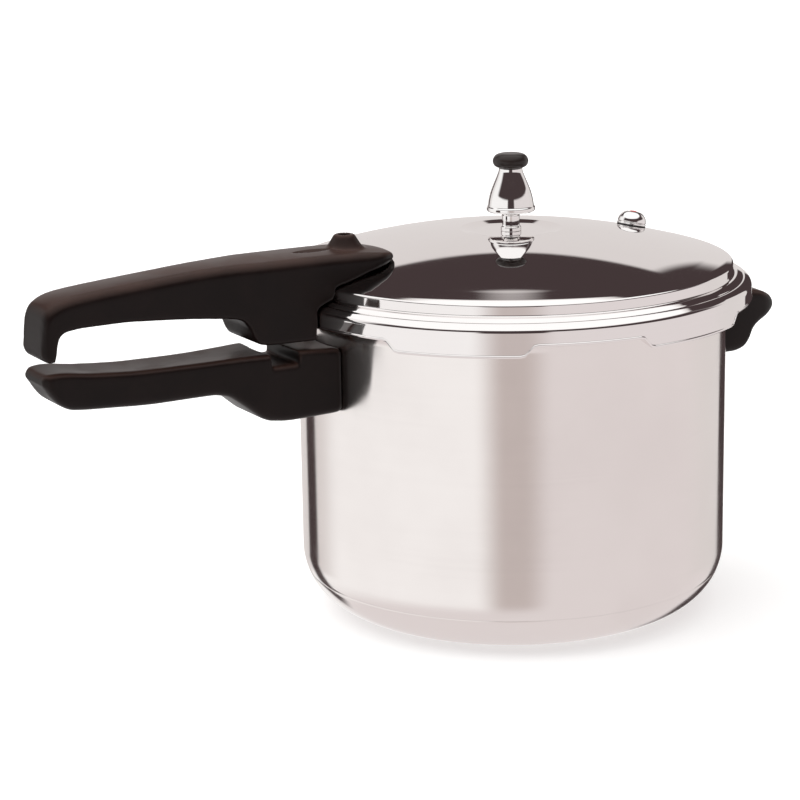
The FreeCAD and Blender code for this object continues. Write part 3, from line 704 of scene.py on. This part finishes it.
def lid_outline(rolled):
    R, H = wall_radius, rim
    wall = skirt_radius - 0.55
    points = [(0, crown - RECESS), (12, crown - RECESS)]
    points += [tuple(p) for p in eased([
        (12, crown - RECESS), (20.5, crown - RECESS, 2.4),
        (28.4, crown, 0.6), (30, crown - 0.15)], closed=False)[1:-1]]
    dome = bowed((28.5, crown), (R - 5.2, shoulder + 0.9), DOME_BEND, 40)
    points += dome[1:-2]
    if rolled:
        edge = [(wall, H - 7.0, 0.2), (skirt_radius, H - 7.5, 0.5),
                (wall, H - 8.7, 0.8), (R + 5, H - 8.7, 0.9),
                (R + 5, H - 6.2, 0.9),
                (skirt_radius - SHEET, H - 6.2, 1.2)]
    else:
        edge = [(wall, skirt_foot + 1.7, 0.2), (skirt_radius, skirt_foot + 1.2, 0.5),
                (wall, skirt_foot, 0.6), (skirt_radius - SHEET, skirt_foot, 0.9),
                (skirt_radius - SHEET, skirt_foot + 2.5, 0.4),
                (skirt_radius - SHEET, skirt_foot + 6, 0.4)]
    points += [tuple(p) for p in eased([
        dome[-2], (R - 1.2, shoulder - 0.1, 1.2),
        (R + 3.45, shoulder - 1.6, 1.0), (R + 3.6, H + 5.3, 0.8),
        (R + 5.8, H + 4.9, 0.8), (R + 8.2, H + 3.5, 0.6),
        (R + 8.8, H + 3.0, 0.5), (R + 10, H + 2.8, 0.8),
        (R + 13.0, H + 0.9, 1.0), (wall, H - 0.9, 1.0),
        (wall, H - 4)] + edge + [
        (skirt_radius - SHEET, H - 1.6, 1.0), (skirt_radius - SHEET - 1.3, H, 0.8),
        (R + 5.6, H + 1.5, 1.5), (R + 2.4, H + 3.2, 1.5),
        (R + 1.1, H + 4.8, 1.0), (R + 0.9, shoulder - 3.6, 1.0),
        (R - 5.85, shoulder - 1.5)], closed=False)[1:]]
    points += bowed((R - 5.85, shoulder - 1.5), (28, crown - SHEET), DOME_BEND, 24)[1:]
    points += [(22, crown - RECESS - SHEET), (0, crown - RECESS - SHEET)]
    return points


lid = finish_mesh("lid_shell", lathe_mesh("lid_shell", lid_outline(False), SIDES,
                                          other=lid_outline(True),
                                          share=lug_share(math.radians(3.2))),
                  "lid", ["lid"], lid_metal)
even_shading(lid)
print("lid shell:", len(lid.data.polygons), "faces")

# %% [markdown]
# ## Moulded handles
#
# A handle is a moulded bar whose height and width change along its length, with eased
# edges everywhere. Subdivision surfaces would need a hand-made cage for each, so the bars
# are lofted instead: a rounded section is placed at close stations along the bar, its top,
# bottom and half width read from smooth curves through a few points. Near the pot the
# sections are bent to follow the round metal. A voxel remesh then fuses the bar with what
# stands on it, and a few smoothing passes leave the soft edges of a real moulding.


# %% Loft helpers
def smooth_through(points):
    """A smooth curve through (x, y) points that never swings past them."""
    xs = [p[0] for p in points]
    ys = [p[1] for p in points]
    slope = [(ys[i + 1] - ys[i]) / (xs[i + 1] - xs[i]) for i in range(len(xs) - 1)]
    lean = [slope[0]]
    for a, b in zip(slope, slope[1:]):
        lean.append(0.0 if a * b <= 0 else 2 * a * b / (a + b))
    lean.append(slope[-1])

    def value(x):
        x = min(max(x, xs[0]), xs[-1])
        i = max(k for k in range(len(xs) - 1) if xs[k] <= x)
        width = xs[i + 1] - xs[i]
        t = (x - xs[i]) / width
        return (ys[i] * (1 + 2 * t) * (1 - t) ** 2 + lean[i] * width * t * (1 - t) ** 2
                + ys[i + 1] * t * t * (3 - 2 * t) - lean[i + 1] * width * t * t * (1 - t))
    return value


def section(top, bottom, half, ease_top, ease_bottom, crowned):
    """A closed section (across, height) with rounded corners and a crowned top face."""
    tall = max(top - bottom, 0.2)
    ease_top = min(ease_top, tall * 0.48, half * 0.8)
    ease_bottom = min(ease_bottom, tall * 0.48, half * 0.8)
    points = []
    corners = ((half, top, ease_top, 0), (-half, top, ease_top, 90),
               (-half, bottom, ease_bottom, 180), (half, bottom, ease_bottom, 270))
    for across, height, ease, start in corners:
        centre = (across - math.copysign(ease, across),
                  height - ease if height == top else height + ease)
        points += arc(centre, ease, start, start + 90, 6)
    spaced = []
    for i, point in enumerate(points):
        here, ahead = Vector(point), Vector(points[(i + 1) % len(points)])
        runs = 6 if i % 7 == 6 else 1
        spaced += [here.lerp(ahead, k / runs) for k in range(runs)]
    middle = (top + bottom) / 2
    for p in spaced:
        if p.y > middle:
            p.y += crowned * ((1 - (p.x / half) ** 2) - 0.5)
    return spaced


def loft_mesh(name, stations, side):
    """Skins (distance out, section, bend) stations; side is -1 for -X and 1 for +X."""
    bm = bmesh.new()
    rings = []
    for out, outline, bend in stations:
        ring = []
        for across, height in outline:
            sag = out - math.sqrt(max(out * out - across * across, 0.0))
            ring.append(bm.verts.new(Vector((side * (out - bend * sag), across, height)) * MM))
        rings.append(ring)
    for low, high in zip(rings, rings[1:]):
        for k in range(len(low)):
            n = (k + 1) % len(low)
            bm.faces.new((low[k], low[n], high[n], high[k]))
    bm.faces.new(rings[0])
    bm.faces.new(reversed(rings[-1]))
    bmesh.ops.recalc_face_normals(bm, faces=bm.faces)
    mesh = bpy.data.meshes.new(name)
    bm.to_mesh(mesh)
    bm.free()
    return mesh


def join_meshes(name, meshes):
    bm = bmesh.new()
    for mesh in meshes:
        bm.from_mesh(mesh)
    joined = bpy.data.meshes.new(name)
    bm.to_mesh(joined)
    bm.free()
    return joined


def fuse(mesh, voxel, passes):
    """Fuses overlapping closed shells into one skin and softens its edges."""
    maker = bpy.data.objects.new("maker", mesh)
    scene.collection.objects.link(maker)
    remesh = maker.modifiers.new("fuse", "REMESH")
    remesh.mode = "VOXEL"
    remesh.voxel_size = voxel
    soften = maker.modifiers.new("soften", "SMOOTH")
    soften.factor = 0.5
    soften.iterations = passes
    bpy.context.view_layer.update()
    skin = bpy.data.meshes.new_from_object(maker.evaluated_get(
        bpy.context.evaluated_depsgraph_get()))
    skin.name = mesh.name
    bpy.data.objects.remove(maker)
    return skin


def stations_between(first, last, gap):
    count = max(2, int(round((last - first) / gap)))
    return [first + (last - first) * k / count for k in range(count + 1)]


VOXEL = 0.9 * MM
block_end = wall_radius + 47
grip_run = handle_tip - block_end


def along(part):
    """Distance out for a part of the way from the handle block (0) to the tip (1)."""
    return block_end + grip_run * part


GRIP_HALF_WIDTHS = [
    (block_end - 4, 20), (along(0.06), 18.4), (along(0.2), 16.8), (along(0.45), 16),
    (along(0.9), 16), (along(0.97), 15)]


def bend_near(out, near, far):
    """1 while the bar still follows the round metal, 0 once it is straight."""
    return min(max((far - out) / (far - near), 0.0), 1.0)


# %% [markdown]
# ## The upper handle
#
# It bolts to the lid, climbs over the shoulder onto the dome and carries the hollow boss
# that the lock pin rises through. Its underside is cut to the lid's own curve, its grip is
# arched for the fingers, and its tip hooks down over the lower handle. A shallow leaf
# shaped groove lies beside the boss.


# %% Upper handle
def lid_clearance(out):
    """Height of the lid's outer face at a distance from its middle, and a hair more."""
    R, H = wall_radius, rim
    rise = smooth_through([
        (78, crown - 6.6), (R - 22, crown - 10.2), (R - 5.1, shoulder + 1.2),
        (R + 2.4, shoulder - 0.8), (R + 3.8, shoulder - 2.1),
        (R + 4.0, H + 5.9), (R + 5.3, H + 5.4), (R + 8.6, H + 4.2),
        (R + 11.1, H + 3.0), (skirt_radius - 1, H + 1.7),
        (skirt_radius + 0.2, H - 0.6)])
    return rise(out)


def upper_handle_stations():
    R, H = wall_radius, rim
    top = smooth_through([
        (R - 40, H + 24), (R - 38, H + 25.9), (R - 32, H + 27.4),
        (R - 22, H + 28.5), (R - 12, H + 29.2), (R + 5, H + 29.6),
        (block_end, H + 29.8), (along(0.2), H + 29.2), (along(0.41), H + 27.6),
        (along(0.64), H + 25.5), (along(0.8), H + 23.8), (along(0.88), H + 22.4),
        (along(0.955), H + 18.6), (along(0.985), H + 13),
        (handle_tip - 0.6, H + 4), (handle_tip, H - 3.5)])
    bottom = smooth_through([
        (skirt_radius + 0.3, H - 15), (block_end - 6, H - 14.2),
        (block_end - 0.3, H - 13), (along(0.02), H - 9.7), (along(0.04), H - 4),
        (along(0.07), H + 0.2), (along(0.12), H + 1.8), (along(0.2), H + 2.9),
        (along(0.32), H + 4.4), (along(0.48), H + 5.9), (along(0.64), H + 7),
        (handle_tip - 24, H + 6.9), (handle_tip - 14, H + 6),
        (handle_tip - 9.6, H + 3.4), (handle_tip - 8, H - 2),
        (handle_tip - 7.4, H - 9), (handle_tip - 4.5, H - 9.4),
        (handle_tip - 1.5, H - 8), (handle_tip, H - 4.5)])
    half = smooth_through([
        (R - 40, 6.5), (R - 38.8, 9.4), (R - 36.4, 12.6), (R - 32, 16.4), (R - 27, 18.9),
        (R - 21, 20)] + GRIP_HALF_WIDTHS + [(handle_tip, 12.5)])
    made = []
    edge = skirt_radius + 0.2
    places = stations_between(R - 40, edge, 0.8) + stations_between(
        edge + 0.1, handle_tip, 1.0)
    for out in places:
        low = lid_clearance(out) if out <= edge else bottom(out)
        high = max(top(out), low + 0.5)
        ease = 5.5 if out > R - 25 else 3.5
        made.append((out, section(high, low, half(out), ease, 2.5, 1.2),
                     bend_near(out, R + 20, R + 45)))
    return made


def boss_mesh():
    """The hollow boss, flared into the handle at its foot."""
    H = rim
    outline = eased([
        (3.0, H + 27), (15, H + 26), (15, H + 27.6, 1),
        (10.2, H + 29.2, 3), (7.4, H + 33.5, 2),
        (5.4, boss_top, 1.2), (3.0, boss_top, 0.5)], closed=True)
    return lathe_mesh("boss", [tuple(p) for p in outline], 64, middle=(boss_place, 0.0))


def press_leaf(mesh, middle, long, wide, deep):
    """Sinks a pointed leaf shape into the upward faces of the mesh."""
    for vertex in mesh.vertices:
        x = (vertex.co.x / MM - middle[0]) / long
        y = (vertex.co.y / MM - middle[1]) / wide
        if vertex.normal.z < 0.7 or abs(x) >= 1:
            continue
        inside = (1 - x * x) - abs(y)
        if inside > 0:
            t = min(inside / 0.35, 1.0)
            vertex.co.z -= deep * MM * t * t * (3 - 2 * t)


def upper_handle_mesh():
    bar = loft_mesh("upper_handle", upper_handle_stations(), -1)
    skin = fuse(join_meshes("upper_handle", [bar, boss_mesh()]), VOXEL, 7)
    press_leaf(skin, (boss_place - 21, -2), 12.5, 3.6, 1.3)
    return skin


upper_handle = finish_mesh("upper_handle", upper_handle_mesh(), "lid",
                           ["lid_handle"], phenolic)
print("upper handle:", len(upper_handle.data.polygons), "faces")

# %% [markdown]
# ## The lower handle
#
# It is bolted to the pot and lies under the upper one, so that one hand can hold both. Its
# back is hollowed by a square notch that the lid's handle locks into, its top is gently
# dished along the grip, and its block thickens where the bracket's tongue goes in.


# %% Lower handle
def lower_handle_stations():
    R, H = wall_radius, rim
    notch_near, notch_far = R + 24.5, block_end - 6.5
    top = smooth_through([
        (R, H - 21.2), (R + 6, H - 20.4), (R + 24.5, H - 19.2),
        (block_end, H - 19.3), (along(0.28), H - 19.6), (along(0.53), H - 19.2),
        (along(0.77), H - 17.2), (along(0.93), H - 15), (along(0.98), H - 15.4),
        (handle_tip, H - 18.4)])
    bottom = smooth_through([
        (R, H - 56.4), (R + 28, H - 57), (block_end - 7, H - 55.8),
        (block_end - 2, H - 54), (block_end + 2, H - 51),
        (along(0.09), H - 44), (along(0.145), H - 39.8), (along(0.22), H - 38.2),
        (along(0.46), H - 38.4), (along(0.7), H - 37), (handle_tip - 16, H - 35.4),
        (handle_tip - 9, H - 32.2), (handle_tip - 5, H - 28),
        (handle_tip - 1.5, H - 22.6), (handle_tip, H - 20.4)])
    half = smooth_through([(R, 18.5), (R + 3, 20)] + GRIP_HALF_WIDTHS + [(handle_tip, 12)])
    made = []
    places = stations_between(R + 0.1, handle_tip, 1.0)
    places = sorted(places + [notch_near - 0.05, notch_near, notch_far,
                              notch_far + 0.05])
    for out in places:
        high = H - 26 if notch_near <= out <= notch_far else top(out)
        made.append((out, section(high, bottom(out), half(out), 3.6, 5.0, -0.6),
                     bend_near(out, R + 5, R + 28)))
    return made


lower_handle = finish_mesh(
    "lower_handle", fuse(loft_mesh("lower_handle", lower_handle_stations(), -1), VOXEL, 5),
    "pot", ["body_handle"], phenolic)
print("lower handle:", len(lower_handle.data.polygons), "faces")

# %% [markdown]
# ## The helper handle
#
# A short broad lug of the same resin on the far side of the pot, undercut for the fingers.


# %% Helper handle
def helper_stations():
    R, H = wall_radius, rim
    top = smooth_through([
        (R, H - 17.4), (R + 8, H - 16.6), (R + 22, H - 17.5),
        (R + 36, H - 20), (R + 46, H - 24), (helper_end, H - 28.5)])
    bottom = smooth_through([
        (R, H - 54), (R + 18, H - 54), (R + 24, H - 52.6),
        (R + 27.5, H - 49), (R + 30, H - 43.5), (R + 35, H - 39.5),
        (R + 43, H - 36), (R + 48.5, H - 32.5), (helper_end, H - 30)])
    half = smooth_through([
        (R, 28), (R + 14, 28), (R + 38, 25.5), (R + 47, 22),
        (helper_end, 16)])
    made = []
    for out in stations_between(R + 0.1, helper_end, 1.0):
        made.append((out, section(top(out), bottom(out), half(out), 4.5, 4.5, 1.0),
                     bend_near(out, R + 6, R + 30)))
    return made


helper = finish_mesh(
    "helper_grip", fuse(loft_mesh("helper_grip", helper_stations(), 1), VOXEL, 5),
    "pot", ["helper_handle"], phenolic)
print("helper handle:", len(helper.data.polygons), "faces")

# %% [markdown]
# ## Regulator, vent pipe and valve
#
# These are small turned pieces, so each is a lathe outline with eased corners. The
# regulator's bell narrows to a neck under its rounded knob and has a steam port bored
# across it. The relief valve leans with the dome, so it is turned upright first and then
# set down on the slope that its CAD piece has.


# %% Turned fittings
def turned_piece(name, points, closed, body, nodes, material, sides=96, middle=(0.0, 0.0)):
    outline = [tuple(p) for p in eased(points, closed)]
    mesh = lathe_mesh(name, outline, sides, middle)
    return even_shading(finish_mesh(name, mesh, body, nodes, material))


def bore_through(piece, start, stop, radius):
    """Cuts a round hole between two points with a throwaway cutter."""
    run = stop - start
    cutter_mesh = lathe_mesh("cutter", [(0, 0), (radius, 0), (radius, run.length),
                                        (0, run.length)], 32)
    cutter = bpy.data.objects.new("cutter", cutter_mesh)
    scene.collection.objects.link(cutter)
    turn = run.to_track_quat("Z", "Y").to_matrix().to_4x4()
    cutter.matrix_world = Matrix.Translation(start * MM) @ turn
    cut = piece.modifiers.new("bore", "BOOLEAN")
    cut.operation = "DIFFERENCE"
    cut.solver = "EXACT"
    cut.object = cutter
    bpy.context.view_layer.update()
    bored = bpy.data.meshes.new_from_object(piece.evaluated_get(
        bpy.context.evaluated_depsgraph_get()))
    piece.modifiers.clear()
    piece.data = bored
    bpy.data.objects.remove(cutter)
    return even_shading(piece)


def regulator():
    foot, top = weight_low.z, weight_high.z
    wide = weight_high.x
    tall = top - foot
    bore = 4.1
    points = [(bore, foot, 0.3), (wide - 0.9, foot, 0.6),
              (wide, foot + 0.8, 0.5), (wide, foot + 2.6, 0.5),
              (wide - 0.7, foot + 3.2, 0.4)]
    for part, inset in ((0.26, 1.1), (0.39, 1.8), (0.52, 2.8), (0.66, 4.2), (0.8, 5.7)):
        points.append((wide - inset, foot + tall * part, 1.6))
    points += [(wide - 6.9, foot + tall * 0.93, 0.8), (wide - 7.1, top, 0.3),
               (bore * 0.5, top, 0.2), (bore * 0.5, foot + tall * 0.7, 0.2),
               (bore, foot + tall * 0.6, 0.5)]
    weight = turned_piece("regulator_bell", points, True, "regulator",
                          ["regulator_weight"], chrome)
    turn = math.radians(-28)
    aim = Vector((math.cos(turn), math.sin(turn), 0)) * 20
    level = Vector((0, 0, foot + tall * 0.42))
    bore_through(weight, level - aim, level + aim, 1.3)
    low, high, round_ = knob_low.z, knob_high.z, knob_high.x
    turned_piece("regulator_cap", [
        (0, low + 6), (2.05, low + 6, 0.1), (2.05, low, 0.2),
        (round_ - 3.8, low, 0.8),
        (round_ - 1.0, low + 1.3, 1.6), (round_, low + 4.2, 2.4),
        (round_ - 1.6, low + 7.2, 2.6), (round_ - 4.5, high - 0.1, 2.2),
        (0, high)], False, "regulator", ["regulator_knob"], knob_resin)


def vent_pipe():
    low, high = box_mm("vent_pipe")
    recess = crown - RECESS
    thin, thick = 3.6, 5.7
    collar = weight_low.z - 0.4
    turned_piece("vent_tube", [
        (1.2, low.z, 0.2), (thin, low.z, 0.4), (thin, recess, 0.2),
        (thick, recess, 0.3), (thick, recess + 2.2, 0.4),
        (thick - 0.8, recess + 3, 0.5), (thick - 0.8, collar - 1.6, 0.5),
        (thick - 0.2, collar - 1, 0.4), (thin + 0.6, collar, 0.3),
        (thin, collar, 0.2), (thin, high.z - 1, 0.3), (thin - 1, high.z, 0.3),
        (1.2, high.z, 0.2)], True, "lid", ["vent_pipe"], chrome)


regulator()
vent_pipe()
print("regulator and vent pipe turned")


# %% Relief valve and lock pin
VALVE_INSET = 32
VALVE_TURN = math.radians(6)
VALVE_LEAN = math.radians(12.6)


def lean_onto_dome(piece):
    """Stands a piece that was turned about Z on the dome where the relief valve is."""
    out = wall_radius - VALVE_INSET
    seat = shoulder + 0.9 + (crown - shoulder - 0.9) * 0.43
    tilt = Matrix.Rotation(VALVE_LEAN, 4, Vector((-math.sin(VALVE_TURN), math.cos(VALVE_TURN), 0)))
    foot = Vector((out * math.cos(VALVE_TURN), out * math.sin(VALVE_TURN), seat))
    place = Matrix.Translation(foot * MM)
    piece.data.transform(place @ tilt)
    return piece


def relief_valve():
    R = 8.35
    lean_onto_dome(turned_piece("valve_dome", [
        (1.6, 1.8, 0.2), (R - 0.4, 1.8, 0.2),
        (R, 2.2, 0.3), (R - 0.4, 4.3, 1.2), (R - 1.6, 6.3, 1.4),
        (R - 3.3, 7.6, 1.2), (3.6, 8.1, 0.6), (3.0, 8.0, 0.3),
        (3.0, 3.8, 0.3), (1.6, 3.8, 0.2)], True, "lid",
        ["valve_cap"], chrome))
    lean_onto_dome(turned_piece("valve_base", [
        (1.6, -10.6, 0.2), (4.9, -10.6, 0.4), (4.9, 0.6, 0.1),
        (R, 0.6, 0.2), (R, 1.4, 0.2), (R - 0.4, 1.8, 0.1),
        (3.2, 1.8, 0.1), (3.2, -8.6, 0.2), (1.6, -8.6, 0.2)],
        True, "lid", ["valve_body"], chrome))
    lean_onto_dome(turned_piece("valve_plug", [
        (0, -8.3), (2.8, -8.3, 0.3), (2.8, -7.1, 0.3),
        (1.2, -7.1, 0.2), (1.2, 4.2, 0.2), (2.7, 4.2, 0.2),
        (2.7, 7.8, 0.5), (1.6, 8.5, 0.8), (0, 8.6)], False,
        "valve_button", ["valve_button"], red_rubber))


def lock_pin():
    low, high = pin_low.z, pin_high.z
    turned_piece("pressure_pin", [
        (0, low), (4.6, low, 0.4), (4.6, low + 1.6, 0.3),
        (2.4, low + 1.6, 0.2), (2.4, high - 0.4, 0.4),
        (1.8, high, 0.4), (0, high)], False, "lock_pin", ["lock_pin"],
        chrome, 64, (boss_place, 0.0))


relief_valve()
lock_pin()
print("relief valve and lock pin turned")

# %% [markdown]
# ## Seal and rack
#
# The sealing ring is a moulded rubber loop inside the lid. The rack is a pressed disc on
# four feet with rings of round holes, which keeps jars off the pot's floor. The disc's
# holes are round and true in the CAD piece, so it keeps that shape and gets its finish.


# %% Sealing ring
def sealing_ring():
    low, high = box_mm("sealing_ring")
    outer, inner = wall_radius - 0.2, wall_radius - 8.4
    turned_piece("rubber_seal", [
        (inner, low.z, 0.8), (inner + 2.6, low.z, 0.3),
        (inner + 4.1, low.z + 0.9, 0.6), (inner + 5.6, low.z, 0.3),
        (outer, low.z, 0.8), (outer, low.z + 4.3, 0.8),
        (outer - 4.2, high.z, 0.8), (inner, high.z, 0.8)], True, "seal",
        ["sealing_ring"], seal_rubber, 256)


sealing_ring()
print("sealing ring moulded")

# %% [markdown]
# ## Finishes on the carried-over pieces
#
# Brackets, screws, nuts and washers already have the right shape. They keep their CAD mesh
# and only take a finish, each from the material slot that the record gives it.

# %% Finishes for the CAD pieces
FINISH_OF_SLOT = {
    "pot_metal": pot_metal, "lid_metal": lid_metal, "rack_metal": rack_metal,
    "handle_dark": phenolic, "knob_black": knob_resin, "seal_rubber": seal_rubber,
    "button_red": red_rubber, "weight_metal": chrome, "vent_metal": chrome,
    "valve_metal": chrome, "pin_metal": chrome, "steel": zinc_steel}


def finish_cad_pieces():
    dressed = 0
    for entry in frame["record"]["subparts"]:
        node = frame["nodes"][entry["node"]]
        if node.hide_render:
            continue
        node.data.materials.clear()
        node.data.materials.append(FINISH_OF_SLOT[entry["material_slot"]])
        dressed += 1
    return dressed


print("CAD pieces dressed:", finish_cad_pieces())
